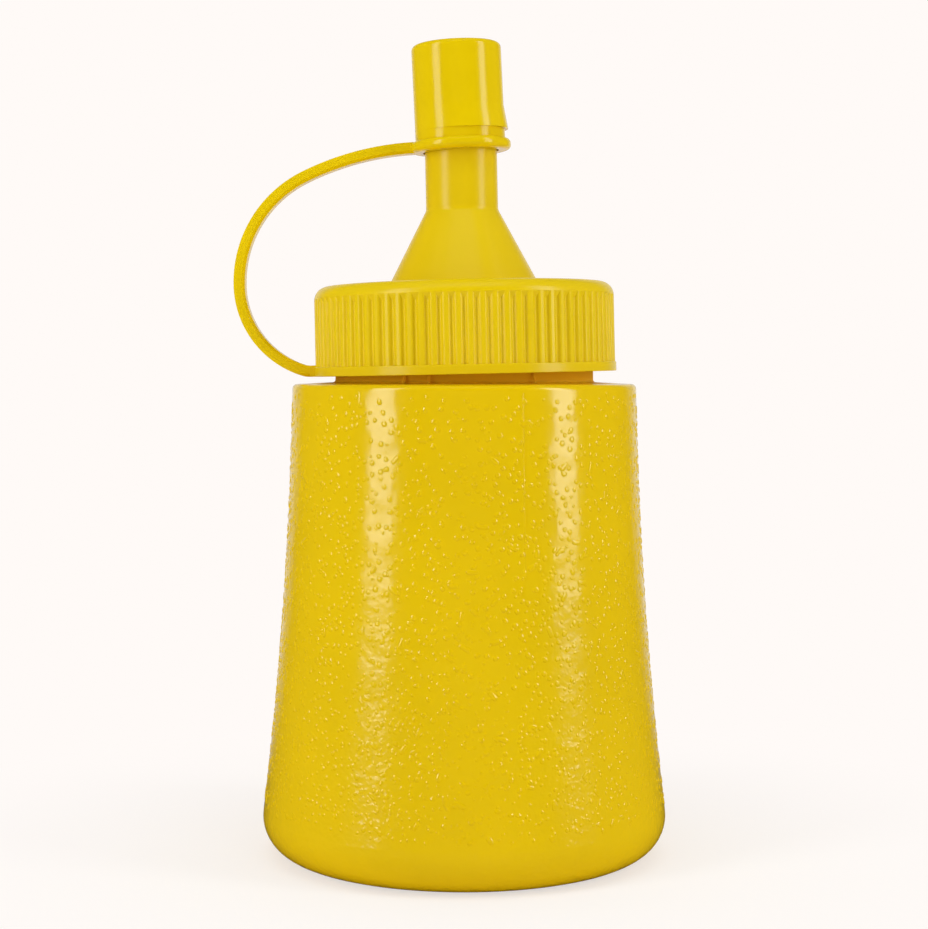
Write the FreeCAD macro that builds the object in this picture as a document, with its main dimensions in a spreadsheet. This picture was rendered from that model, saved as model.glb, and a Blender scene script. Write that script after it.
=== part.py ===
import FreeCAD, Part
import math
import os
import re

import Sketcher
from FreeCAD import Placement, Rotation, Vector

# A small squeeze bottle for sauce: a blow-moulded bottle, a ribbed screw cap with a spout, and a tip
# cap on a strap. The origin is the centre of the base, +Z runs up the bottle's axis, and the strap
# hangs on the -X side. Lengths are in millimetres and angles in degrees.

SIZES = (
    # Bottle
    ("base_diameter", 70.0),        # widest place, at the rounded heel
    ("heel_radius", 6.7),
    ("shoulder_diameter", 59.9),
    ("shoulder_height", 81.3),
    ("wall_curve", 700.0),          # radius of the wall's slight inward sweep
    ("shoulder_edge", 0.8),
    ("shoulder_rise", 0.35),        # how far the shoulder climbs to the neck
    ("neck_diameter", 45.0),
    ("neck_root", 0.5),
    ("stand_ring_diameter", 48.0),  # inner edge of the ring that the bottle stands on
    ("push_up", 2.4),               # height of the hollow under the base
    # Screw cap and spout
    ("cap_gap", 1.84),              # open height between shoulder and cap
    ("cap_diameter", 52.3),         # over the ribs
    ("cap_height", 15.58),
    ("cap_corner", 2.4),
    ("cap_foot_edge", 0.12),
    ("cap_roof", 2.2),
    ("neck_clearance", 0.5),        # between the neck and the cap's bore, at the radius
    ("rib_count", 80),
    ("rib_depth", 0.45),
    ("rib_edge", 0.72),             # rounding along each rib
    ("rib_valley", 0.42),           # radius of the valley between two ribs
    ("rib_runout", 1.1),            # height over which a valley rises to nothing at its top
    ("band_height", 1.62),          # smooth band under the ribs
    ("band_reach", 0.2),            # how far the band stands out past the ribs
    ("band_edge", 0.15),
    ("crown_height", 2.1),          # smooth ring over the ribs
    ("cone_foot_diameter", 26.15),
    ("cone_foot_fillet", 0.5),
    ("cone_height", 13.0),
    ("stem_diameter", 12.6),
    ("stem_root_fillet", 1.3),
    ("stem_height", 10.2),
    ("nozzle_end_diameter", 10.0),
    ("closure_lean", 1.2),          # the screw cap stands a little askew on its neck
    ("closure_shift", 0.22),        # and this far off the bottle's axis, away from the strap
    # Tip cap
    ("tip_clearance", 0.35),        # between the stem and the tip cap's bore, at the radius
    ("tip_wall", 1.2),
    ("tip_height", 18.85),
    ("tip_edge", 0.95),
    ("tip_roof", 1.8),
    ("ring_reach", 0.95),           # how far the foot ring stands out of the tip cap's wall
    ("ring_height", 2.0),
    ("ring_edge", 0.85),
    ("tip_lean", 1.5),              # the tip cap leans this much more than the spout
    ("lip_height", 3.65),           # underside of the thumb lip over the ring's foot
    ("lip_reach", 0.6),             # how far the lip stands off opposite the strap
    ("lip_rise", 4.6),              # height over which the lip runs out into the wall
    # Strap
    ("tab_length", 0.9),
    ("tab_width", 5.4),
    ("strap_width", 4.0),
    ("strap_thickness", 1.97),
    ("strap_edge", 0.5),
    ("strap_bulge", 11.67),         # how far the strap swings out past the tab's face
    ("belly_rise", 15.17),          # height of the strap's outermost point over the tab
    ("root_turn", 18.6),            # turn of the tight arc next to the tab
    ("belly_turn", 66.3),           # turn of the arc above the outermost point
)

# Heights and places that several pieces share, as formulas of the sizes.
NECK_RADIUS = "neck_diameter / 2"
CREST = "cap_diameter / 2"
VALLEY_FLOOR = "(cap_diameter / 2 - rib_depth)"
BAND_RADIUS = "(cap_diameter / 2 + band_reach)"
CROWN_FOOT = "(cap_height - crown_height)"
CAP_BORE = "(neck_diameter / 2 + neck_clearance)"
SKIRT_DEPTH = "(cap_height - cap_roof)"
CAP_FOOT = "(shoulder_height + cap_gap)"
NECK_TOP = "(%s + %s * cos(closure_lean * 1 deg) - %s * sin(closure_lean * 1 deg))" % (
    CAP_FOOT, SKIRT_DEPTH, CAP_BORE)
RING_FOOT = "(cap_height + cone_height + stem_height)"
TIP_BORE = "(stem_diameter / 2 + tip_clearance)"
TIP_RADIUS = "(stem_diameter / 2 + tip_clearance + tip_wall)"
RING_RADIUS = "(stem_diameter / 2 + tip_clearance + tip_wall + ring_reach)"
NOZZLE_TOP = "(%s + tip_height - tip_roof - nozzle_end_diameter * sin(tip_lean * 1 deg))" % RING_FOOT
TAB_FACE = "(cap_diameter / 2 + tab_length)"

H_AXIS = -1
V_AXIS = -2
START, END, CENTRE = 1, 2, 3

doc = FreeCAD.newDocument("SqueezeBottle")
sheet = doc.addObject("Spreadsheet::Sheet", "Sizes")
for row, (alias, number) in enumerate(SIZES, start=1):
    sheet.set("A%d" % row, alias)
    sheet.set("B%d" % row, str(number))
    sheet.setAlias("B%d" % row, alias)
doc.recompute()

SIZE_NAME = re.compile(r"\b(%s)\b" % "|".join(alias for alias, number in SIZES))


def linked(formula):
    """The formula with each size name pointing at its cell in the sheet."""
    return SIZE_NAME.sub(r"Sizes.\1", formula)


def value(formula):
    """The formula's number for the sizes as they stand."""
    return float(sheet.evalExpression(linked(formula)))


def new_body(name):
    body = doc.addObject("PartDesign::Body", name)
    body.Label = name
    return body


def origin_item(body, role):
    """The plane or axis of the body's own origin that has this role."""
    return next(item for item in body.Origin.OriginFeatures if item.Role == role)


def new_sketch(body, name, plane="XZ_Plane", offset="0"):
    """A sketch on one of the body's origin planes, moved along the plane's normal by the offset."""
    sketch = body.newObject("Sketcher::SketchObject", name)
    sketch.AttachmentSupport = [(origin_item(body, plane), "")]
    sketch.MapMode = "FlatFace"
    if offset != "0":
        sketch.setExpression("AttachmentOffset.Base.z", linked(offset))
    return sketch


def measure(sketch, kind, where, formula):
    """A dimension of this kind whose number comes from the formula."""
    index = sketch.addConstraint(Sketcher.Constraint(kind, *where, value(formula)))
    sketch.setExpression("Constraints[%d]" % index, linked(formula))


def relate(sketch, kind, *where):
    sketch.addConstraint(Sketcher.Constraint(kind, *where))


def pin(sketch, edge, point, across=None, up=None):
    """Ties a point's place to formulas, with "0" for a point on an axis."""
    for kind, axis, formula in (("DistanceX", V_AXIS, across), ("DistanceY", H_AXIS, up)):
        if formula == "0":
            relate(sketch, "PointOnObject", edge, point, axis)
        elif formula is not None:
            measure(sketch, kind, (H_AXIS, START, edge, point), formula)


def line(sketch, start, end):
    return sketch.addGeometry(Part.LineSegment(Vector(*start), Vector(*end)), False)


def arc(sketch, centre, radius, first, last):
    """An arc that runs anticlockwise from the first angle to the last, in radians."""
    circle = Part.Circle(Vector(*centre), Vector(0, 0, 1), radius)
    return sketch.addGeometry(Part.ArcOfCircle(circle, first, last), False)


def polygon(sketch, corners):
    """A closed chain of straight edges whose corners are pairs of formulas."""
    spots = [(value(across), value(up)) for across, up in corners]
    edges = [line(sketch, spot, spots[(i + 1) % len(spots)]) for i, spot in enumerate(spots)]
    for i, edge in enumerate(edges):
        relate(sketch, "Coincident", edge, END, edges[(i + 1) % len(edges)], START)
    for edge, (across, up) in zip(edges, corners):
        pin(sketch, edge, START, across, up)


def revolve(body, sketch, name):
    """Turns a profile round the sketch's vertical axis."""
    feature = body.newObject("PartDesign::Revolution", name)
    feature.Profile = sketch
    feature.ReferenceAxis = (sketch, ["V_Axis"])
    feature.Angle = 360
    doc.recompute()
    return feature


def rims(feature, radius, height):
    """The names of the feature's round edges with this radius at this height."""
    names = []
    for number, edge in enumerate(feature.Shape.Edges, start=1):
        if edge.Degenerated or not isinstance(edge.Curve, Part.Circle):
            continue
        curve = edge.Curve
        if abs(curve.Radius - value(radius)) < 1e-4 and abs(curve.Center.z - value(height)) < 1e-4:
            names.append("Edge%d" % number)
    if not names:
        raise ValueError("%s has no rim of radius %s at height %s" % (feature.Name, radius, height))
    return names


def round_rims(body, name, radius, *places):
    """Rounds the rims at these (radius, height) places of the body's newest feature."""
    base = body.Tip
    feature = body.newObject("PartDesign::Fillet", name)
    feature.Base = (base, [rim for place in places for rim in rims(base, *place)])
    feature.setExpression("Radius", linked(radius))
    doc.recompute()
    return feature


def make_bottle():
    """The bottle: hollow-footed base, rounded heel, swept wall, flat shoulder and plain neck."""
    body = new_body("bottle")
    sketch = new_sketch(body, "BottleProfile")
    stand = value("stand_ring_diameter / 2")
    heel = value("heel_radius")
    heel_centre = Vector(value("base_diameter / 2 - heel_radius"), heel, 0)
    shoulder = Vector(value("shoulder_diameter / 2"), value("shoulder_height"), 0)
    curve = value("wall_curve")
    # The wall's centre lies outside the bottle, one wall_curve from the shoulder and one wall_curve
    # plus one heel_radius from the heel's centre.
    chord = shoulder - heel_centre
    along = (chord.Length ** 2 + (curve + heel) ** 2 - curve ** 2) / (2 * chord.Length)
    aside = math.sqrt((curve + heel) ** 2 - along ** 2)
    forward = chord / chord.Length
    wall_centre = heel_centre + forward * along + Vector(forward.y, -forward.x, 0) * aside
    touch = (wall_centre - heel_centre)
    to_wall = math.atan2(touch.y, touch.x)
    to_shoulder = math.atan2(shoulder.y - wall_centre.y, shoulder.x - wall_centre.x) % (2 * math.pi)
    neck = value(NECK_RADIUS)
    neck_foot = value("shoulder_height + shoulder_rise")
    neck_top = value(NECK_TOP)
    push_up = value("push_up")
    dome_radius = (stand ** 2 + push_up ** 2) / (2 * push_up)

    base = line(sketch, (stand, 0), (heel_centre.x, 0))
    round_heel = arc(sketch, heel_centre, heel, -math.pi / 2, to_wall)
    wall = arc(sketch, wall_centre, curve, to_shoulder, to_wall + math.pi)
    ledge = line(sketch, shoulder, (neck, neck_foot))
    neck_side = line(sketch, (neck, neck_foot), (neck, neck_top))
    neck_rim = line(sketch, (neck, neck_top), (0, neck_top))
    axis = line(sketch, (0, neck_top), (0, push_up))
    dome = arc(sketch, (0, push_up - dome_radius), dome_radius,
               math.acos(stand / dome_radius), math.pi / 2)

    pin(sketch, base, START, "stand_ring_diameter / 2", "0")
    pin(sketch, base, END, None, "0")
    relate(sketch, "Tangent", base, END, round_heel, START)
    measure(sketch, "Radius", (round_heel,), "heel_radius")
    pin(sketch, round_heel, CENTRE, "base_diameter / 2 - heel_radius")
    relate(sketch, "Tangent", round_heel, END, wall, END)
    measure(sketch, "Radius", (wall,), "wall_curve")
    pin(sketch, wall, START, "shoulder_diameter / 2", "shoulder_height")
    relate(sketch, "Coincident", wall, START, ledge, START)
    pin(sketch, ledge, END, NECK_RADIUS, "shoulder_height + shoulder_rise")
    relate(sketch, "Coincident", ledge, END, neck_side, START)
    relate(sketch, "Vertical", neck_side)
    pin(sketch, neck_side, END, None, NECK_TOP)
    relate(sketch, "Coincident", neck_side, END, neck_rim, START)
    relate(sketch, "Horizontal", neck_rim)
    pin(sketch, neck_rim, END, "0")
    relate(sketch, "Coincident", neck_rim, END, axis, START)
    pin(sketch, axis, END, "0", "push_up")
    relate(sketch, "Coincident", axis, END, dome, END)
    relate(sketch, "Coincident", dome, START, base, START)
    pin(sketch, dome, CENTRE, "0")

    revolve(body, sketch, "BottleTurn")
    round_rims(body, "NeckRoot", "neck_root", (NECK_RADIUS, "shoulder_height + shoulder_rise"))
    round_rims(body, "ShoulderEdge", "shoulder_edge", ("shoulder_diameter / 2", "shoulder_height"))
    return body


def make_spout_cap():
    """The screw cap: a ribbed skirt over the neck, with cone, stem and nozzle in one with it."""
    body = new_body("spout_cap")
    sketch = new_sketch(body, "CapProfile")
    polygon(sketch, (
        (CAP_BORE, "0"),
        (BAND_RADIUS, "0"),
        (BAND_RADIUS, "band_height"),
        (CREST, "band_height"),
        (CREST, "cap_height"),
        ("cone_foot_diameter / 2", "cap_height"),
        ("stem_diameter / 2", "cap_height + cone_height"),
        ("stem_diameter / 2", RING_FOOT),
        ("nozzle_end_diameter / 2", NOZZLE_TOP),
        ("0", NOZZLE_TOP),
        ("0", SKIRT_DEPTH),
        (CAP_BORE, SKIRT_DEPTH),
    ))
    revolve(body, sketch, "CapTurn")
    round_rims(body, "CapCorner", "cap_corner", (CREST, "cap_height"))
    round_rims(body, "CapFootEdge", "cap_foot_edge", (BAND_RADIUS, "0"))
    round_rims(body, "BandEdge", "band_edge", (BAND_RADIUS, "band_height"))
    round_rims(body, "ConeFoot", "cone_foot_fillet", ("cone_foot_diameter / 2", "cap_height"))
    round_rims(body, "StemRoot", "stem_root_fillet", ("stem_diameter / 2", "cap_height + cone_height"))
    cut_valleys(body)
    add_runout(body)
    add_tab(body)
    body.Placement = Placement(Vector(), Rotation(Vector(0, -1, 0), 0))
    body.setExpression("Placement.Base.x", linked("closure_shift"))
    body.setExpression("Placement.Base.z", linked(CAP_FOOT))
    body.setExpression("Placement.Rotation.Angle", linked("closure_lean * 1 deg"))
    return body


def cut_valleys(body):
    """Cuts the valleys between the ribs, from the smooth band up to the smooth crown."""
    sketch = new_sketch(body, "ValleySection", "XY_Plane", "band_height")
    crest = value(CREST)
    valley = value("rib_valley")
    edge = value("rib_edge")
    valley_x = crest - value("rib_depth") + valley
    edge_x = crest - edge
    edge_y = math.sqrt((valley + edge) ** 2 - (valley_x - edge_x) ** 2)
    swing = math.atan2(edge_y, valley_x - edge_x)
    clear = crest + 1

    floor = arc(sketch, (valley_x, 0), valley, math.pi - swing, math.pi + swing)
    lower = arc(sketch, (edge_x, -edge_y), edge, 0, swing)
    upper = arc(sketch, (edge_x, edge_y), edge, -swing, 0)
    lower_side = line(sketch, (crest, -edge_y), (clear, -edge_y))
    outside = line(sketch, (clear, -edge_y), (clear, edge_y))
    upper_side = line(sketch, (clear, edge_y), (crest, edge_y))

    pin(sketch, floor, CENTRE, "cap_diameter / 2 - rib_depth + rib_valley", "0")
    measure(sketch, "Radius", (floor,), "rib_valley")
    relate(sketch, "Tangent", floor, START, upper, START)
    relate(sketch, "Tangent", floor, END, lower, END)
    for rounding, side, near, far in ((lower, lower_side, START, START), (upper, upper_side, END, END)):
        measure(sketch, "Radius", (rounding,), "rib_edge")
        pin(sketch, rounding, CENTRE, "cap_diameter / 2 - rib_edge")
        relate(sketch, "Horizontal", rounding, near, rounding, CENTRE)
        relate(sketch, "Coincident", rounding, near, side, far)
        relate(sketch, "Horizontal", side)
    relate(sketch, "Coincident", lower_side, END, outside, START)
    relate(sketch, "Coincident", outside, END, upper_side, START)
    relate(sketch, "Vertical", outside)
    pin(sketch, outside, START, "cap_diameter / 2 + 1")

    valley_cut = body.newObject("PartDesign::Pocket", "Valley")
    valley_cut.Profile = sketch
    valley_cut.Reversed = True
    valley_cut.setExpression("Length", linked("%s - band_height" % CROWN_FOOT))
    doc.recompute()
    ring = body.newObject("PartDesign::PolarPattern", "Valleys")
    ring.Originals = [valley_cut]
    ring.Axis = (origin_item(body, "Z_Axis"), [""])
    ring.Angle = 360
    ring.setExpression("Occurrences", linked("rib_count"))
    body.Tip = ring
    doc.recompute()


def add_runout(body):
    """A sloped ring under the crown, on which every valley rises to nothing."""
    sketch = new_sketch(body, "RunoutProfile")
    core = "(cap_diameter / 2 - 2 * rib_depth)"
    polygon(sketch, (
        (core, CROWN_FOOT + " - rib_runout"),
        (VALLEY_FLOOR, CROWN_FOOT + " - rib_runout"),
        (CREST, CROWN_FOOT),
        (core, CROWN_FOOT),
    ))
    revolve(body, sketch, "Runout")


def add_tab(body):
    """The tab on the band that the strap springs from."""
    sketch = new_sketch(body, "TabSide")
    root = "-(cap_diameter / 2 + neck_diameter / 2 + neck_clearance) / 2"
    polygon(sketch, (
        ("-" + TAB_FACE, "0"),
        (root, "0"),
        (root, "strap_thickness"),
        ("-" + TAB_FACE, "strap_thickness"),
    ))
    tab = body.newObject("PartDesign::Pad", "Tab")
    tab.Profile = sketch
    tab.Midplane = True
    tab.setExpression("Length", linked("tab_width"))
    doc.recompute()


def two_arcs(start, heading, turns, end):
    """Two tangent arcs that turn clockwise from start, at this heading, to end.

    The arcs turn by the two given angles. Each is returned as its centre, radius and the angles of
    its anticlockwise ends, all in radians.
    """
    headings = (heading, heading - turns[0], heading - turns[0] - turns[1])
    steps = [Vector(math.sin(a) - math.sin(b), math.cos(b) - math.cos(a), 0)
             for a, b in zip(headings, headings[1:])]
    reach = end - start
    spread = steps[0].x * steps[1].y - steps[0].y * steps[1].x
    radii = ((reach.x * steps[1].y - reach.y * steps[1].x) / spread,
             (steps[0].x * reach.y - steps[0].y * reach.x) / spread)
    arcs = []
    spot = start
    for radius, step, before, after in zip(radii, steps, headings, headings[1:]):
        centre = spot + Vector(math.sin(before), -math.cos(before), 0) * radius
        arcs.append((centre, radius, after + math.pi / 2, before + math.pi / 2))
        spot = spot + step * radius
    return arcs


def make_tip_cap():
    """The tip cap: a closed sleeve over the nozzle with a foot ring, a thumb lip and the strap."""
    body = new_body("tip_cap")
    sketch = new_sketch(body, "TipProfile")
    polygon(sketch, (
        ("0", "0"),
        (RING_RADIUS, "0"),
        (RING_RADIUS, "ring_height"),
        (TIP_RADIUS, "ring_height"),
        (TIP_RADIUS, "tip_height"),
        ("0", "tip_height"),
    ))
    revolve(body, sketch, "TipTurn")
    round_rims(body, "TipEdge", "tip_edge", (TIP_RADIUS, "tip_height"))
    round_rims(body, "RingEdges", "ring_edge", (RING_RADIUS, "0"), (RING_RADIUS, "ring_height"))
    add_lip(body)
    add_strap(body)
    bore_tip(body)
    lean = "((closure_lean + tip_lean) * 1 deg)"
    body.Placement = Placement(Vector(), Rotation(Vector(0, -1, 0), 0))
    body.setExpression("Placement.Base.x",
                       linked("closure_shift - %s * sin(closure_lean * 1 deg)" % RING_FOOT))
    body.setExpression("Placement.Base.z",
                       linked("%s + %s * cos(closure_lean * 1 deg)" % (CAP_FOOT, RING_FOOT)))
    body.setExpression("Placement.Rotation.Angle", linked(lean))
    return body


def add_lip(body):
    """The thumb lip: a wall that swells opposite the strap and ends in a step over the ring."""
    sunk = 0.05
    sections = []
    for name, height, radius, shift in (
        ("LipFoot", "lip_height", "(2 * %s + lip_reach - %g) / 2" % (TIP_RADIUS, sunk),
         "(lip_reach + %g) / 2" % sunk),
        ("LipTop", "lip_height + lip_rise", "%s - %g" % (TIP_RADIUS, sunk), "0"),
    ):
        sketch = new_sketch(body, name, "XY_Plane", height)
        spot = Vector(value(shift), 0, 0)
        ring = sketch.addGeometry(Part.Circle(spot, Vector(0, 0, 1), value(radius)), False)
        pin(sketch, ring, CENTRE, shift, "0")
        measure(sketch, "Radius", (ring,), radius)
        sections.append(sketch)
    lip = body.newObject("PartDesign::AdditiveLoft", "Lip")
    lip.Profile = sections[0]
    lip.Sections = [sections[1]]
    lip.Ruled = True
    doc.recompute()


def add_strap(body):
    """The strap, swept along four tangent arcs from inside the foot ring down to the tab's face."""
    lean = math.radians(value("tip_lean"))
    # The tab's face as it lies from the leaning tip cap.
    tab_x = "(-%s * cos(tip_lean * 1 deg) + (strap_thickness / 2 - %s) * sin(tip_lean * 1 deg))" % (
        TAB_FACE, RING_FOOT)
    tab_z = "(%s * sin(tip_lean * 1 deg) + (strap_thickness / 2 - %s) * cos(tip_lean * 1 deg))" % (
        TAB_FACE, RING_FOOT)
    belly_x = tab_x + " - strap_bulge"
    belly_z = tab_z + " + belly_rise"
    weld_x = "-(%s + %s) / 2" % (TIP_BORE, RING_RADIUS)
    weld_z = "ring_height / 2"
    tab = Vector(value(tab_x), value(tab_z), 0)
    belly = Vector(value(belly_x), value(belly_z), 0)
    weld = Vector(value(weld_x), value(weld_z), 0)
    root_turn = math.radians(value("root_turn"))
    belly_turn = math.radians(value("belly_turn"))
    upright = math.pi / 2
    lower = two_arcs(tab, math.pi - lean, (root_turn, upright - lean - root_turn), belly)
    higher = two_arcs(belly, upright, (belly_turn, upright - belly_turn), weld)

    path = new_sketch(body, "StrapPath")
    bends = [arc(path, *bend) for bend in lower + higher]
    for bend, after in zip(bends, bends[1:]):
        relate(path, "Tangent", bend, START, after, END)
    pin(path, bends[0], END, tab_x, tab_z)
    pin(path, bends[1], START, belly_x, belly_z)
    pin(path, bends[3], START, weld_x, weld_z)
    relate(path, "Horizontal", bends[1], START, bends[1], CENTRE)
    relate(path, "Vertical", bends[3], START, bends[3], CENTRE)
    measure(path, "Angle", (bends[0],), "root_turn * 1 deg")
    measure(path, "Angle", (bends[1],), "(90 - tip_lean - root_turn) * 1 deg")
    measure(path, "Angle", (bends[2],), "belly_turn * 1 deg")

    section = new_sketch(body, "StrapSection", "YZ_Plane", weld_x)
    half = "strap_width / 2"
    low = "ring_height / 2 - strap_thickness / 2"
    high = "ring_height / 2 + strap_thickness / 2"
    polygon(section, (
        ("-" + half + " + strap_edge", low),
        (half + " - strap_edge", low),
        (half, low + " + strap_edge"),
        (half, high + " - strap_edge"),
        (half + " - strap_edge", high),
        ("-" + half + " + strap_edge", high),
        ("-" + half, high + " - strap_edge"),
        ("-" + half, low + " + strap_edge"),
    ))
    strap = body.newObject("PartDesign::AdditivePipe", "Strap")
    strap.Profile = section
    strap.Spine = (path, [""])
    doc.recompute()


def bore_tip(body):
    """The blind bore that takes the nozzle."""
    sketch = new_sketch(body, "BoreMouth", "XY_Plane")
    mouth = sketch.addGeometry(Part.Circle(Vector(), Vector(0, 0, 1), value(TIP_BORE)), False)
    relate(sketch, "Coincident", mouth, CENTRE, H_AXIS, START)
    measure(sketch, "Radius", (mouth,), TIP_BORE)
    bore = body.newObject("PartDesign::Pocket", "Bore")
    bore.Profile = sketch
    bore.Reversed = True
    bore.setExpression("Length", linked("tip_height - tip_roof"))
    doc.recompute()


def check_solid(body):
    """Stops the build if the body isn't one sound solid."""
    shape = body.Shape
    if shape.isNull() or not shape.isValid() or len(shape.Solids) != 1:
        raise ValueError("%s is not one sound solid" % body.Label)


pieces = [make_bottle(), make_spout_cap(), make_tip_cap()]
doc.recompute()
for item in doc.Objects:
    if "Invalid" in item.State or "Error" in item.State:
        raise ValueError("%s could not be built" % item.Label)
for piece in pieces:
    check_solid(piece)

os.makedirs("parts", exist_ok=True)
for piece in pieces:
    piece.Shape.exportStep("parts/%s.step" % piece.Label)
    box = piece.Shape.optimalBoundingBox(False)
    print("%-10s %8.0f mm3  x %.2f..%.2f  y %.2f..%.2f  z %.2f..%.2f" % (
        piece.Label, piece.Shape.Volume, box.XMin, box.XMax, box.YMin, box.YMax, box.ZMin, box.ZMax))
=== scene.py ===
import math

import bpy
from bpy.props import FloatProperty, FloatVectorProperty, IntProperty, PointerProperty
from mathutils import Matrix, Vector


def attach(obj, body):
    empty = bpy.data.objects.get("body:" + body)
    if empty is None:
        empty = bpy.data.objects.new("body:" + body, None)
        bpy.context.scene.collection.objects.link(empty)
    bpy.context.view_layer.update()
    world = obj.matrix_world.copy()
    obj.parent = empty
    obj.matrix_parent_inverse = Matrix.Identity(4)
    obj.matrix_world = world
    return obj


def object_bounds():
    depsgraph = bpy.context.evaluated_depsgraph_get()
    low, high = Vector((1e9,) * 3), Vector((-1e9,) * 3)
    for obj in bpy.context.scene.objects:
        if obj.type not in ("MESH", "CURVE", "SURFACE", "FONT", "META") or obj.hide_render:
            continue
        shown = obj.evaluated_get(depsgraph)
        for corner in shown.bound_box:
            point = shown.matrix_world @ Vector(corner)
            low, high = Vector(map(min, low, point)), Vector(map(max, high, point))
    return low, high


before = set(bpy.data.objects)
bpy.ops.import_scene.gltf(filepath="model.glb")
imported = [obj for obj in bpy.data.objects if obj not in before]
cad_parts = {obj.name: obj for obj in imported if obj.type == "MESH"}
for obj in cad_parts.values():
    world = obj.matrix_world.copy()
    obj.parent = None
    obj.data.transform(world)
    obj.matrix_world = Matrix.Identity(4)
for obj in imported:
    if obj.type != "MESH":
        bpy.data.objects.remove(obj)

bl_info = {
    "name": "Sauce Squeeze Bottle",
    "version": (1, 0, 0),
    "blender": (4, 5, 0),
    "location": "View3D > Sidebar > Squeeze Bottle",
    "description": "Grains the wall, adds the mould marks and finishes the plastics of a squeeze bottle",
    "category": "Object",
}

CAD_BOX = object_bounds()

# height of the shoulder, where the wall ends and the neck starts
SHOULDER = 0.0813

# rise as a share of the height and width as a share of the step before, up a grain
COARSE_STEPS = ((0.43, 0.82), (0.39, 0.78), (0.26, 0.75), (0.04, 0.74))
FINE_STEPS = ((0.50, 0.76), (0.45, 0.68), (0.10, 0.70))
# sides of the disc that each kind of mark is drawn up from
GRAIN_SIDES = 7
RUN_SIDES = 10
TICK_SIDES = 12
SEAM_SIDES = 8
# how deep the foot of a grain sits in the wall, as a share of its height
GRAIN_SINK = 0.15
# least distance of two coarse grains, as a share of their width
COARSE_SPACING = 0.95
# width of a run, as a share of a coarse grain's width
RUN_WIDTH = 0.9
# how densely grains lie at the height that is barest, as a share of the fullest
BARE_SHARE = 0.12
# length, width and height of the smallest and the largest grain, as shares of the modelled one
SMALLEST_GRAIN = (0.78, 0.78, 0.8)
LARGEST_GRAIN = (1.1, 1.1, 1.1)

# distance from the axis at which a line that finds the wall starts
CLEAR_OF_WALL = 0.2

# the seam starts this far under the shoulder and goes down in steps, each narrower than the last
SEAM_DROP = 0.0012
SEAM_STEPS = 12
SEAM_TAPER = 0.955
# how deep the seam's middle sits in the wall, as a share of its width
SEAM_SINK = 0.2

# how far the middle of the raised tick is under the shoulder, and its width and height
TICK_DROP = 0.0022
TICK_WIDTH = 0.0011
TICK_HEIGHT = 0.00004
# a tick leans as the wall does between two spots this share of its length from its middle
TICK_REACH = 0.45

# the lugs on the neck: degrees from the front, middle above the shoulder, length, width and height
LUG_TURNS = {"neck_lug_a": -14.6, "neck_lug_b": -25.5, "neck_lug_c": 30.0}
LUG_RISE = 0.0012
LUG_LENGTH = 0.0020
LUG_WIDTH = 0.0005
LUG_HEIGHT = 0.00015

# darkest shade of each plastic, as a share of its colour
WALL_SHADE = 0.965
CLOSURE_SHADE = 0.975

# the gloss mirrors the backdrop only straight behind the bottle: the Y of a direction where that
# starts and where it is full, and how bright it is there
BACKDROP_EDGE = 0.68
BACKDROP_FULL = 0.98
BACKDROP_MIRROR = 0.75

# the camera looks level from a hair left of the axis, and its view is shifted down
CAMERA_SIDE = -0.00005
SENSOR_WIDTH = 36
LENS = 77.5
VIEW_SHIFT = -0.105


def linear(code):
    """The linear colour of an sRGB hex value such as "E6C404"."""
    shares = [int(code[i:i + 2], 16) / 255 for i in (0, 2, 4)]
    return tuple(s / 12.92 if s <= 0.04045 else ((s + 0.055) / 1.055) ** 2.4 for s in shares)


def around(radius, turn, height):
    """The point at a radius and height, turned in degrees from the front towards the right."""
    angle = math.radians(turn)
    return Vector((radius * math.sin(angle), -radius * math.cos(angle), height))


class GrainSettings(bpy.types.PropertyGroup):
    """The raised grain of the wall."""

    grain_width: FloatProperty(
        name="Grain width", description="Width of one coarse grain at its foot",
        default=0.00112, min=0.0002, unit="LENGTH", precision=5)
    grain_height: FloatProperty(
        name="Grain height", description="How far a coarse grain stands out of the wall",
        default=0.000115, min=0.00001, unit="LENGTH", precision=5)
    coarse_density: FloatProperty(
        name="Coarse density", description="Coarse grains per square metre where they are densest",
        default=385000, min=0)
    fine_share: FloatProperty(
        name="Fine share", description="Size of a fine grain as a share of a coarse one",
        default=0.68, min=0.2, max=1)
    fine_density: FloatProperty(
        name="Fine density", description="Fine grains per square metre where they are densest",
        default=560000, min=0)
    run_length: FloatProperty(
        name="Run length", description="Length of a run, where two or three grains flow together",
        default=0.00195, min=0.0002, unit="LENGTH", precision=5)
    run_density: FloatProperty(
        name="Run density", description="Runs per square metre of wall where they are densest",
        default=22000, min=0)
    grain_foot: FloatProperty(
        name="Grain foot", description="Height at which the grain starts",
        default=0.009, min=0, unit="LENGTH")
    grain_top: FloatProperty(
        name="Grain top", description="Height at which the grain ends",
        default=0.0794, min=0, unit="LENGTH")
    grain_seed: IntProperty(
        name="Grain seed", description="Number that fixes where the grains fall", default=7)


class MarkSettings(bpy.types.PropertyGroup):
    """The marks that the blow mould leaves on the wall."""

    seam_turn: FloatProperty(
        name="Seam turn", description="Where one mould seam stands, turned from the front",
        default=math.radians(18.5), subtype="ANGLE")
    seam_width: FloatProperty(
        name="Seam width", description="Width of the mould seam at the shoulder",
        default=0.00030, min=0.00005, unit="LENGTH", precision=5)
    seam_foot: FloatProperty(
        name="Seam foot", description="Height at which the seam has faded out",
        default=0.050, min=0, unit="LENGTH")
    tick_turn: FloatProperty(
        name="Tick turn", description="Where the short raised tick under the shoulder stands",
        default=math.radians(-35.5), subtype="ANGLE")
    tick_length: FloatProperty(
        name="Tick length", description="Length of the raised tick",
        default=0.0024, min=0.0005, unit="LENGTH", precision=5)


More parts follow.
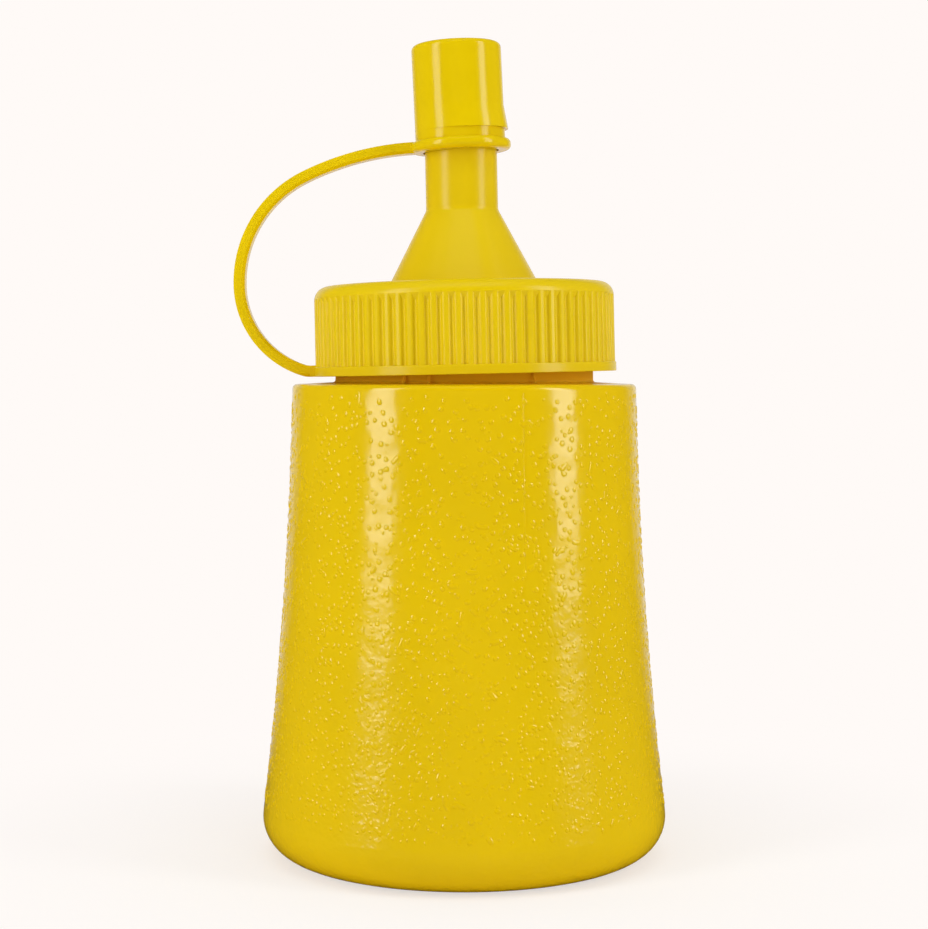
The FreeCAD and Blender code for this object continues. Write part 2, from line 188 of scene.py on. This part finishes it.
class FinishSettings(bpy.types.PropertyGroup):
    """The colours of the two mouldings, and the brighter orange painted on the neck as painted light."""

    wall_colour: FloatVectorProperty(
        name="Wall colour", description="Colour of the blow-moulded bottle",
        default=linear("E8BF04"), min=0, max=1, subtype="COLOR")
    # painted light: a brighter orange that stands in for the light coming through the thin neck into the
    # shaded gap under the cap
    neck_painted_light_colour: FloatVectorProperty(
        name="Neck colour", description="Colour of the bottle's thin neck, which light comes through",
        default=linear("FFBE00"), min=0, max=1, subtype="COLOR")
    closure_colour: FloatVectorProperty(
        name="Closure colour", description="Colour of the injection-moulded closure",
        default=linear("E7C304"), min=0, max=1, subtype="COLOR")


class StageSettings(bpy.types.PropertyGroup):
    """The floor, the lamps and the camera."""

    floor_radius: FloatProperty(
        name="Floor radius", description="Radius of the round floor",
        default=1.2, min=0.2, unit="LENGTH")
    backdrop_colour: FloatVectorProperty(
        name="Backdrop colour", description="Colour of the backdrop and the floor",
        default=linear("FFFAF7"), min=0, max=1, subtype="COLOR")
    lamp_colour: FloatVectorProperty(
        name="Lamp colour", description="Colour of the soft boxes and the overhead fill, a little cool",
        default=linear("F5FDFF"), min=0, max=1, subtype="COLOR")
    fill_colour: FloatVectorProperty(
        name="Fill colour", description="Colour of the low fill, a little warm",
        default=linear("FFF1DE"), min=0, max=1, subtype="COLOR")
    camera_distance: FloatProperty(
        name="Camera distance", description="Distance of the camera from the bottle's axis",
        default=0.350, min=0.1, unit="LENGTH")
    eye_height: FloatProperty(
        name="Eye height", description="Height of the camera above the floor",
        default=0.0843, min=0, unit="LENGTH")


class BottleSettings(bpy.types.PropertyGroup):
    """All settings of the squeeze bottle."""

    grain: PointerProperty(type=GrainSettings)
    marks: PointerProperty(type=MarkSettings)
    finish: PointerProperty(type=FinishSettings)
    stage: PointerProperty(type=StageSettings)


def add_node(tree, kind, settings=None, links=None, **values):
    """Adds one node: settings are its properties, values its inputs, links its inputs from outputs."""
    node = tree.nodes.new(kind)
    for name, value in (settings or {}).items():
        setattr(node, name, value)
    for name, value in values.items():
        node.inputs[name].default_value = value
    for name, source in (links or {}).items():
        tree.links.new(source, node.inputs[name])
    return node


def new_material(name):
    """An empty node material and its tree."""
    material = bpy.data.materials.new(name)
    material.use_nodes = True
    material.node_tree.nodes.clear()
    return material, material.node_tree


def give(piece, material):
    """Puts one material in the only slot of a piece."""
    piece.data.materials.clear()
    piece.data.materials.append(material)


def blow_moulded_ldpe():
    """Blow-moulded LDPE, mass-coloured: a glossy skin whose reflections waver, because the wall
    froze unevenly against the mould, slightly deeper in colour where it is thick, and dull on the
    thin neck, which is painted a brighter orange as painted light for the light that comes through
    it into the shaded gap under the cap."""
    found = bpy.data.materials.get("blow_moulded_ldpe_yellow")
    if found:
        return found
    finish = bpy.context.scene.squeeze_bottle.finish
    material, tree = new_material("blow_moulded_ldpe_yellow")
    place = add_node(tree, "ShaderNodeTexCoord").outputs["Object"]
    # the wall's thickness, and its depth of colour with it, drifts over about 25 mm
    drift = add_node(tree, "ShaderNodeTexNoise", links={"Vector": place}, Scale=40.0, Detail=2.0)
    depth = add_node(tree, "ShaderNodeValToRGB", links={"Fac": drift.outputs["Fac"]})
    base = Vector(finish.wall_colour)
    depth.color_ramp.elements[0].position = 0.35
    depth.color_ramp.elements[0].color = (*(base * WALL_SHADE), 1)
    depth.color_ramp.elements[1].position = 0.65
    depth.color_ramp.elements[1].color = (*base, 1)
    # the neck is thin enough for light to come through it; that light, bouncing in the shaded gap under
    # the cap, is painted in as a brighter orange
    height = add_node(tree, "ShaderNodeSeparateXYZ", links={"Vector": place})
    thin = add_node(tree, "ShaderNodeMapRange", links={"Value": height.outputs["Z"]},
                    **{"From Min": SHOULDER + 0.0001, "From Max": SHOULDER + 0.0008})
    through = add_node(tree, "ShaderNodeMix", {"data_type": "RGBA"},
                       {"Factor": thin.outputs["Result"], "A": depth.outputs["Color"]},
                       B=(*finish.neck_painted_light_colour, 1))
    # the frozen skin waves over about 4 mm
    wave = add_node(tree, "ShaderNodeTexNoise", links={"Vector": place}, Scale=240.0, Detail=1.0)
    swell = add_node(tree, "ShaderNodeBump", links={"Height": wave.outputs["Fac"]},
                     Strength=1.0, Distance=0.00010)
    # a hammered texture of about 0.9 mm that is deeper towards the foot
    hammer = add_node(tree, "ShaderNodeTexNoise", links={"Vector": place}, Scale=1100.0, Detail=1.0)
    deeper = add_node(tree, "ShaderNodeMapRange", links={"Value": height.outputs["Z"]},
                      **{"From Min": 0.058, "From Max": 0.015, "To Min": 0.08, "To Max": 0.8})
    dents = add_node(tree, "ShaderNodeBump",
                     links={"Height": hammer.outputs["Fac"], "Strength": deeper.outputs["Result"],
                            "Normal": swell.outputs["Normal"]}, Distance=0.00009)
    # grit of about 0.3 mm that the blasted mould leaves
    grit = add_node(tree, "ShaderNodeTexNoise", links={"Vector": place}, Scale=3300.0, Detail=2.0)
    skin = add_node(tree, "ShaderNodeMapRange", links={"Value": grit.outputs["Fac"]},
                    **{"To Min": 0.10, "To Max": 0.18})
    # the neck is dull, so no lamp shows in it
    dull = add_node(tree, "ShaderNodeMix",
                    links={"Factor": thin.outputs["Result"], "A": skin.outputs["Result"]}, B=0.95)
    shader = add_node(
        tree, "ShaderNodeBsdfPrincipled",
        links={"Base Color": through.outputs["Result"], "Roughness": dull.outputs["Result"],
               "Normal": dents.outputs["Normal"]},
        IOR=1.51, **{"Specular IOR Level": 0.40})
    add_node(tree, "ShaderNodeOutputMaterial", links={"Surface": shader.outputs["BSDF"]})
    return material


def injection_moulded_ldpe(name, smoothest, roughest):
    """Injection-moulded LDPE, mass-coloured: a satin or half-gloss skin that spreads the lamps,
    with faint flow lines that run round the closure."""
    finish = bpy.context.scene.squeeze_bottle.finish
    material, tree = new_material(name)
    place = add_node(tree, "ShaderNodeTexCoord").outputs["Object"]
    # flow lines stand about 4 mm apart up the closure and are drawn out round it
    squeeze = add_node(tree, "ShaderNodeMapping", links={"Vector": place}, Scale=(0.25, 0.25, 1.0))
    flow = add_node(tree, "ShaderNodeTexNoise", links={"Vector": squeeze.outputs["Vector"]},
                    Scale=250.0, Detail=3.0)
    tone = add_node(tree, "ShaderNodeValToRGB", links={"Fac": flow.outputs["Fac"]})
    base = Vector(finish.closure_colour)
    tone.color_ramp.elements[0].position = 0.3
    tone.color_ramp.elements[0].color = (*(base * CLOSURE_SHADE), 1)
    tone.color_ramp.elements[1].position = 0.7
    tone.color_ramp.elements[1].color = (*base, 1)
    skin = add_node(tree, "ShaderNodeMapRange", links={"Value": flow.outputs["Fac"]},
                    **{"To Min": smoothest, "To Max": roughest})
    # the polished mould leaves waves of about 1 mm
    waves = add_node(tree, "ShaderNodeTexNoise", links={"Vector": place}, Scale=1000.0, Detail=1.0)
    bump = add_node(tree, "ShaderNodeBump", links={"Height": waves.outputs["Fac"]},
                    Strength=0.12, Distance=0.00002)
    shader = add_node(
        tree, "ShaderNodeBsdfPrincipled",
        links={"Base Color": tone.outputs["Color"], "Roughness": skin.outputs["Result"],
               "Normal": bump.outputs["Normal"]},
        IOR=1.51, **{"Specular IOR Level": 0.22})
    add_node(tree, "ShaderNodeOutputMaterial", links={"Surface": shader.outputs["BSDF"]})
    return material


def deselect():
    """Leaves edit mode and deselects everything."""
    if bpy.context.object and bpy.context.object.mode != "OBJECT":
        bpy.ops.object.mode_set(mode="OBJECT")
    bpy.ops.object.select_all(action="DESELECT")


def wall_skin(low, high):
    """A sheet that is the bottle's outer wall between two heights, to lay marks on."""
    deselect()
    skin = bpy.data.objects.new("wall_skin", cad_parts["bottle"].data.copy())
    bpy.context.scene.collection.objects.link(skin)
    skin.select_set(True)
    bpy.context.view_layer.objects.active = skin
    bpy.ops.object.mode_set(mode="EDIT")
    bpy.ops.mesh.select_all(action="SELECT")
    bpy.ops.mesh.remove_doubles(threshold=0.00001)
    bpy.ops.mesh.bisect(plane_co=(0, 0, low), plane_no=(0, 0, 1), clear_inner=True)
    bpy.ops.mesh.select_all(action="SELECT")
    bpy.ops.mesh.bisect(plane_co=(0, 0, high), plane_no=(0, 0, 1), clear_outer=True)
    bpy.ops.object.mode_set(mode="OBJECT")
    return skin


def wall_spot(turn, height, sink=0.0):
    """The point of the bottle's wall at a turn in radians and a height, sunk in by a little."""
    out = Vector((math.sin(turn), -math.cos(turn), 0))
    start = out * CLEAR_OF_WALL + Vector((0, 0, height))
    hit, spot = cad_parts["bottle"].ray_cast(start, -out)[:2]
    if not hit:
        raise RuntimeError("the bottle has no wall at this height")
    return spot - out * sink


def model_grain(name, width, height, length, sides, steps):
    """One grain: a disc drawn up in steps to a low flat-topped dome, its foot just under the wall.
    A length beyond the width pulls its halves apart to a run."""
    deselect()
    bpy.ops.mesh.primitive_circle_add(
        vertices=sides, radius=width / 2, fill_type="NGON",
        location=(0, 0, -GRAIN_SINK * height))
    grain = bpy.context.object
    grain.name = name
    bpy.ops.object.transform_apply(location=True)
    bpy.ops.object.mode_set(mode="EDIT")
    for rise, share in steps:
        bpy.ops.mesh.extrude_region_move(TRANSFORM_OT_translate={"value": (0, 0, rise * height)})
        bpy.ops.transform.resize(value=(share, share, 1))
    bpy.ops.mesh.select_all(action="SELECT")
    bpy.ops.mesh.normals_make_consistent(inside=False)
    bpy.ops.object.mode_set(mode="OBJECT")
    for corner in grain.data.vertices:
        corner.co.x += math.copysign((length - width) / 2, corner.co.x)
    bpy.ops.object.shade_smooth_by_angle(angle=math.radians(70))
    return grain


def scatter_tree(name, grain, spacing, density, seed, bare, full):
    """A node group that strews grains over a sheet, each stood on the sheet and turned at random.
    They are barest at the height given as bare and densest at the one given as full."""
    tree = bpy.data.node_groups.new(name, "GeometryNodeTree")
    tree.interface.new_socket("Sheet", in_out="INPUT", socket_type="NodeSocketGeometry")
    tree.interface.new_socket("Grains", in_out="OUTPUT", socket_type="NodeSocketGeometry")
    sheet = add_node(tree, "NodeGroupInput").outputs["Sheet"]
    place = add_node(tree, "GeometryNodeInputPosition").outputs["Position"]
    height = add_node(tree, "ShaderNodeSeparateXYZ", links={"Vector": place})
    crowd = add_node(tree, "ShaderNodeMapRange", links={"Value": height.outputs["Z"]},
                     **{"From Min": bare, "From Max": full, "To Min": BARE_SHARE})
    spots = add_node(
        tree, "GeometryNodeDistributePointsOnFaces", {"distribute_method": "POISSON"},
        {"Mesh": sheet, "Density Factor": crowd.outputs["Result"]},
        Seed=seed, **{"Distance Min": spacing, "Density Max": density})
    shape = add_node(tree, "GeometryNodeObjectInfo", Object=grain)
    size = add_node(tree, "FunctionNodeRandomValue", {"data_type": "FLOAT_VECTOR"},
                    Seed=seed + 1, Min=SMALLEST_GRAIN, Max=LARGEST_GRAIN)
    spin = add_node(tree, "FunctionNodeRandomValue", {"data_type": "FLOAT_VECTOR"},
                    Seed=seed + 2, Min=(0, 0, 0), Max=(0, 0, math.tau))
    stood = add_node(
        tree, "GeometryNodeInstanceOnPoints",
        links={"Points": spots.outputs["Points"], "Instance": shape.outputs["Geometry"],
               "Rotation": spots.outputs["Rotation"], "Scale": size.outputs["Value"]})
    turned = add_node(
        tree, "GeometryNodeRotateInstances",
        links={"Instances": stood.outputs["Instances"], "Rotation": spin.outputs["Value"]})
    real = add_node(tree, "GeometryNodeRealizeInstances",
                    links={"Geometry": turned.outputs["Instances"]})
    add_node(tree, "NodeGroupOutput", links={"Grains": real.outputs["Geometry"]})
    return tree


def finish_mark(piece):
    """Gives a piece of the wall the wall's plastic and ties it to the bottle."""
    give(piece, blow_moulded_ldpe())
    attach(piece, "root")


def strew(name, grain, spacing, density, seed, bare, full):
    """Strews one kind of grain over the wall as one piece."""
    sizes = bpy.context.scene.squeeze_bottle.grain
    sheet = wall_skin(sizes.grain_foot, sizes.grain_top)
    sheet.name = name
    step = sheet.modifiers.new("Strew", "NODES")
    step.node_group = scatter_tree(name, grain, spacing, density, seed, bare, full)
    bpy.context.view_layer.objects.active = sheet
    bpy.ops.object.modifier_apply(modifier="Strew")
    bpy.data.objects.remove(grain)
    finish_mark(sheet)


class BOTTLE_OT_finish_nodes(bpy.types.Operator):
    """Give the bottle, the spout cap and the tip cap their plastics"""

    bl_idname = "squeeze_bottle.finish_nodes"
    bl_label = "Finish Mouldings"

    def execute(self, context):
        give(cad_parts["bottle"], blow_moulded_ldpe())
        # the screw cap and its spout are duller than the tip cap and its strap
        satin = injection_moulded_ldpe("moulded_ldpe_satin", smoothest=0.22, roughest=0.29)
        give(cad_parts["spout_cap"], satin)
        half_gloss = injection_moulded_ldpe("moulded_ldpe_half_gloss", smoothest=0.13, roughest=0.19)
        give(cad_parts["tip_cap"], half_gloss)
        return {"FINISHED"}


class BOTTLE_OT_wall_grain(bpy.types.Operator):
    """Strew the coarse grain, the fine grain and the runs over the bottle's wall"""

    bl_idname = "squeeze_bottle.wall_grain"
    bl_label = "Add Wall Grain"

    def execute(self, context):
        sizes = context.scene.squeeze_bottle.grain
        wide, tall, long = sizes.grain_width, sizes.grain_height, sizes.run_length
        low, high, seed = sizes.grain_foot, sizes.grain_top, sizes.grain_seed
        # coarse grains are densest on the upper wall and thin out towards the foot
        coarse = model_grain("coarse", wide, tall, wide, GRAIN_SIDES, COARSE_STEPS)
        strew("wall_grain_coarse", coarse, spacing=COARSE_SPACING * wide,
              density=sizes.coarse_density, seed=seed, bare=low - 0.030, full=low + 0.045)
        # fine grains are densest just above the heel and thin out towards the shoulder
        small, flat = sizes.fine_share * wide, sizes.fine_share * tall
        fine = model_grain("fine", small, flat, small, GRAIN_SIDES, FINE_STEPS)
        strew("wall_grain_fine", fine, spacing=small,
              density=sizes.fine_density, seed=seed + 10, bare=high, full=low + 0.010)
        # runs are densest from the middle of the wall down and thin out towards the shoulder
        run = model_grain("run", RUN_WIDTH * wide, tall, long, RUN_SIDES, COARSE_STEPS)
        strew("wall_grain_runs", run, spacing=long,
              density=sizes.run_density, seed=seed + 20, bare=high + 0.010, full=low + 0.040)
        return {"FINISHED"}


class BOTTLE_OT_mould_marks(bpy.types.Operator):
    """Add the two mould seams, the raised tick under the shoulder and the lugs on the neck"""

    bl_idname = "squeeze_bottle.mould_marks"
    bl_label = "Add Mould Marks"

    def execute(self, context):
        marks = context.scene.squeeze_bottle.marks
        turn, width, foot = marks.seam_turn, marks.seam_width, marks.seam_foot
        self.model_seam("mould_seam_front", turn, width, foot)
        self.model_seam("mould_seam_back", turn + math.pi, width, foot)
        self.model_tick("shoulder_tick", marks.tick_turn, SHOULDER - TICK_DROP,
                        marks.tick_length, TICK_WIDTH, TICK_HEIGHT)
        # lugs on the neck that stop the cap turning, as far as the gap under the cap shows them
        for name, degrees in LUG_TURNS.items():
            self.model_tick(name, math.radians(degrees), SHOULDER + LUG_RISE,
                            LUG_LENGTH, LUG_WIDTH, LUG_HEIGHT)
        return {"FINISHED"}

    def model_seam(self, name, turn, width, foot):
        """A bead drawn down the wall from the shoulder, which narrows until it is gone."""
        top = SHOULDER - SEAM_DROP
        heights = [top - (top - foot) * step / SEAM_STEPS for step in range(SEAM_STEPS + 1)]
        spots = [wall_spot(turn, height, SEAM_SINK * width) for height in heights]
        deselect()
        bpy.ops.mesh.primitive_circle_add(
            vertices=SEAM_SIDES, radius=width / 2, fill_type="NGON", location=spots[0])
        seam = bpy.context.object
        seam.name = name
        bpy.ops.object.transform_apply(location=True)
        bpy.ops.object.mode_set(mode="EDIT")
        for above, spot in zip(spots, spots[1:]):
            bpy.ops.mesh.extrude_region_move(TRANSFORM_OT_translate={"value": spot - above})
            bpy.ops.transform.resize(value=(SEAM_TAPER, SEAM_TAPER, 1))
        bpy.ops.mesh.select_all(action="SELECT")
        bpy.ops.mesh.normals_make_consistent(inside=False)
        bpy.ops.object.mode_set(mode="OBJECT")
        bpy.ops.object.shade_smooth_by_angle(angle=math.radians(60))
        finish_mark(seam)

    def model_tick(self, name, turn, middle, length, width, height):
        """A short upright run that lies on the wall or the neck."""
        tick = model_grain(name, width, height, length, TICK_SIDES, COARSE_STEPS)
        top, foot = (wall_spot(turn, middle + rise * length) for rise in (TICK_REACH, -TICK_REACH))
        lean = (top - foot).normalized()
        out = Vector((math.cos(turn), math.sin(turn), 0)).cross(lean)
        stand = Matrix((lean, out.cross(lean), out)).transposed().to_4x4()
        tick.data.transform(Matrix.Translation((top + foot) / 2) @ stand)
        finish_mark(tick)


class BOTTLE_OT_stage(bpy.types.Operator):
    """Set up the floor, the soft lamps, the pale backdrop and the camera"""

    bl_idname = "squeeze_bottle.stage"
    bl_label = "Set Stage"

    def execute(self, context):
        sizes = context.scene.squeeze_bottle.stage
        self.lay_floor(sizes)
        # two upright soft boxes that reach nearly to the floor, which the gloss mirrors as bands
        self.hang_lamp("lamp_left", turn=-54.5, distance=0.90, height=0.50, aim=0.50,
                       width=0.29, tall=0.90, radiance=6.4, colour=sizes.lamp_colour)
        self.hang_lamp("lamp_right", turn=67.0, distance=0.90, height=0.50, aim=0.50,
                       width=0.27, tall=0.90, radiance=6.5, colour=sizes.lamp_colour)
        # two dim fills without a mirror image, one behind the camera and one overhead
        self.hang_lamp("fill_front", turn=2.0, distance=1.10, height=0.16, aim=0.08,
                       width=1.00, tall=0.28, radiance=0.6, colour=sizes.fill_colour,
                       mirrored=False)
        self.hang_lamp("fill_top", turn=0.0, distance=0.35, height=0.95, aim=0.08,
                       width=0.80, tall=0.50, radiance=2.6, colour=sizes.lamp_colour,
                       mirrored=False)
        self.paint_world(context, sizes)
        self.set_camera(context, sizes)
        context.scene.view_settings.view_transform = "Standard"
        return {"FINISHED"}

    def lay_floor(self, sizes):
        """A round floor under the bottle."""
        deselect()
        bpy.ops.mesh.primitive_circle_add(
            vertices=96, radius=sizes.floor_radius, fill_type="NGON", location=(0, 0, CAD_BOX[0].z))
        floor = bpy.context.object
        floor.name = "floor"
        bpy.ops.object.transform_apply(location=True)
        # a painted board that fades into the backdrop away from the bottle; the gloss mirrors it
        # as the backdrop where it lies straight behind the bottle and as a dark table elsewhere
        material, tree = new_material("matt_painted_board")
        place = add_node(tree, "ShaderNodeTexCoord").outputs["Object"]
        far = add_node(tree, "ShaderNodeVectorMath", {"operation": "LENGTH"}, {"Vector": place})
        toward = add_node(tree, "ShaderNodeVectorMath", {"operation": "NORMALIZE"}, {"Vector": place})
        split = add_node(tree, "ShaderNodeSeparateXYZ", links={"Vector": toward.outputs["Vector"]})
        # it fades between 30 mm and 120 mm from the middle
        fade = add_node(tree, "ShaderNodeMapRange", {"interpolation_type": "SMOOTHSTEP"},
                        {"Value": far.outputs["Value"]},
                        **{"From Min": 0.03, "From Max": 0.12, "To Min": 0.65})
        behind = add_node(tree, "ShaderNodeMapRange", {"interpolation_type": "SMOOTHSTEP"},
                          {"Value": split.outputs["Y"]},
                          **{"From Min": BACKDROP_EDGE, "From Max": BACKDROP_FULL,
                             "To Max": BACKDROP_MIRROR})
        seen = add_node(tree, "ShaderNodeLightPath")
        tone = add_node(tree, "ShaderNodeMix", {"data_type": "RGBA"},
                        {"Factor": seen.outputs["Is Glossy Ray"]},
                        A=(*sizes.backdrop_colour, 1), B=(0.03, 0.03, 0.03, 1))
        board = add_node(tree, "ShaderNodeBsdfDiffuse", links={"Color": tone.outputs["Result"]})
        glow = add_node(tree, "ShaderNodeEmission", Color=(*sizes.backdrop_colour, 1), Strength=1.0)
        direct = add_node(tree, "ShaderNodeMath", {"operation": "MULTIPLY"},
                          {0: fade.outputs["Result"], 1: seen.outputs["Is Camera Ray"]})
        mirror = add_node(tree, "ShaderNodeMath", {"operation": "MULTIPLY"},
                          {0: behind.outputs["Result"], 1: seen.outputs["Is Glossy Ray"]})
        share = add_node(tree, "ShaderNodeMath", {"operation": "ADD"},
                         {0: direct.outputs["Value"], 1: mirror.outputs["Value"]})
        mix = add_node(tree, "ShaderNodeMixShader",
                       links={"Fac": share.outputs["Value"], 1: board.outputs["BSDF"],
                              2: glow.outputs["Emission"]})
        add_node(tree, "ShaderNodeOutputMaterial", links={"Surface": mix.outputs["Shader"]})
        give(floor, material)

    def hang_lamp(self, name, turn, distance, height, aim, width, tall, radiance, colour,
                  mirrored=True):
        """A rectangle of light that faces the height given as aim on the bottle's axis."""
        deselect()
        spot = around(distance, turn, height)
        bpy.ops.object.light_add(type="AREA", location=spot)
        lamp = bpy.context.object
        lamp.name = name
        lamp.rotation_euler = (Vector((0, 0, aim)) - spot).to_track_quat("-Z", "Y").to_euler()
        lamp.data.shape = "RECTANGLE"
        lamp.data.size = width
        lamp.data.size_y = tall
        lamp.data.energy = radiance * math.pi * width * tall
        lamp.visible_glossy = mirrored
        lamp.data.color = colour

    def paint_world(self, context, sizes):
        """The room and the backdrop, each as bright as the eye, the gloss or the rest sees it."""
        world = bpy.data.worlds.new("studio")
        context.scene.world = world
        world.use_nodes = True
        tree = world.node_tree
        tree.nodes.clear()
        toward = add_node(tree, "ShaderNodeTexCoord").outputs["Generated"]
        split = add_node(tree, "ShaderNodeSeparateXYZ", links={"Vector": toward})
        seen = add_node(tree, "ShaderNodeLightPath")
        # what lights the bottle: a dim room in front of it and the backdrop behind it
        fill = add_node(tree, "ShaderNodeMapRange", {"interpolation_type": "SMOOTHSTEP"},
                        {"Value": split.outputs["Y"]},
                        **{"From Min": -0.5, "From Max": 0.5, "To Min": 0.05, "To Max": 0.75})
        # what the gloss mirrors: a dark room, and the backdrop straight behind
        gloss = add_node(tree, "ShaderNodeMapRange", {"interpolation_type": "SMOOTHSTEP"},
                         {"Value": split.outputs["Y"]},
                         **{"From Min": BACKDROP_EDGE, "From Max": BACKDROP_FULL,
                            "To Min": 0.02, "To Max": BACKDROP_MIRROR})
        level = add_node(tree, "ShaderNodeMix",
                         links={"Factor": seen.outputs["Is Glossy Ray"],
                                "A": fill.outputs["Result"], "B": gloss.outputs["Result"]})
        room = add_node(tree, "ShaderNodeBackground", links={"Strength": level.outputs["Result"]},
                        Color=(1, 1, 1, 1))
        drop = add_node(tree, "ShaderNodeBackground", Color=(*sizes.backdrop_colour, 1), Strength=1.0)
        mix = add_node(tree, "ShaderNodeMixShader",
                       links={"Fac": seen.outputs["Is Camera Ray"],
                              1: room.outputs["Background"], 2: drop.outputs["Background"]})
        add_node(tree, "ShaderNodeOutputWorld", links={"Surface": mix.outputs["Shader"]})

    def set_camera(self, context, sizes):
        """A level camera in front of the bottle."""
        deselect()
        bpy.ops.object.camera_add(
            location=(CAMERA_SIDE, -sizes.camera_distance, sizes.eye_height),
            rotation=(math.radians(90), 0, 0))
        camera = bpy.context.object
        camera.name = "camera"
        camera.data.sensor_width = SENSOR_WIDTH
        camera.data.lens = LENS
        camera.data.shift_y = VIEW_SHIFT
        context.scene.camera = camera


class BOTTLE_PT_panel(bpy.types.Panel):
    """Lists the bottle's settings and steps"""

    bl_idname = "BOTTLE_PT_panel"
    bl_label = "Squeeze Bottle"
    bl_space_type = "VIEW_3D"
    bl_region_type = "UI"
    bl_category = "Squeeze Bottle"

    def draw(self, context):
        settings = context.scene.squeeze_bottle
        for group in (settings.grain, settings.marks, settings.finish, settings.stage):
            box = self.layout.box()
            for name in group.__annotations__:
                box.prop(group, name)
        for step in STEPS:
            self.layout.operator(step.bl_idname)


STEPS = (
    BOTTLE_OT_finish_nodes,
    BOTTLE_OT_wall_grain,
    BOTTLE_OT_mould_marks,
    BOTTLE_OT_stage,
)
SETTINGS = (GrainSettings, MarkSettings, FinishSettings, StageSettings, BottleSettings)
CLASSES = SETTINGS + STEPS + (BOTTLE_PT_panel,)


def register():
    for item in CLASSES:
        bpy.utils.register_class(item)
    bpy.types.Scene.squeeze_bottle = PointerProperty(type=BottleSettings)


def unregister():
    del bpy.types.Scene.squeeze_bottle
    for item in reversed(CLASSES):
        bpy.utils.unregister_class(item)


def main():
    register()
    for step in STEPS:
        family, name = step.bl_idname.split(".")
        getattr(getattr(bpy.ops, family), name)()
    deselect()


if __name__ == "__main__":
    main()
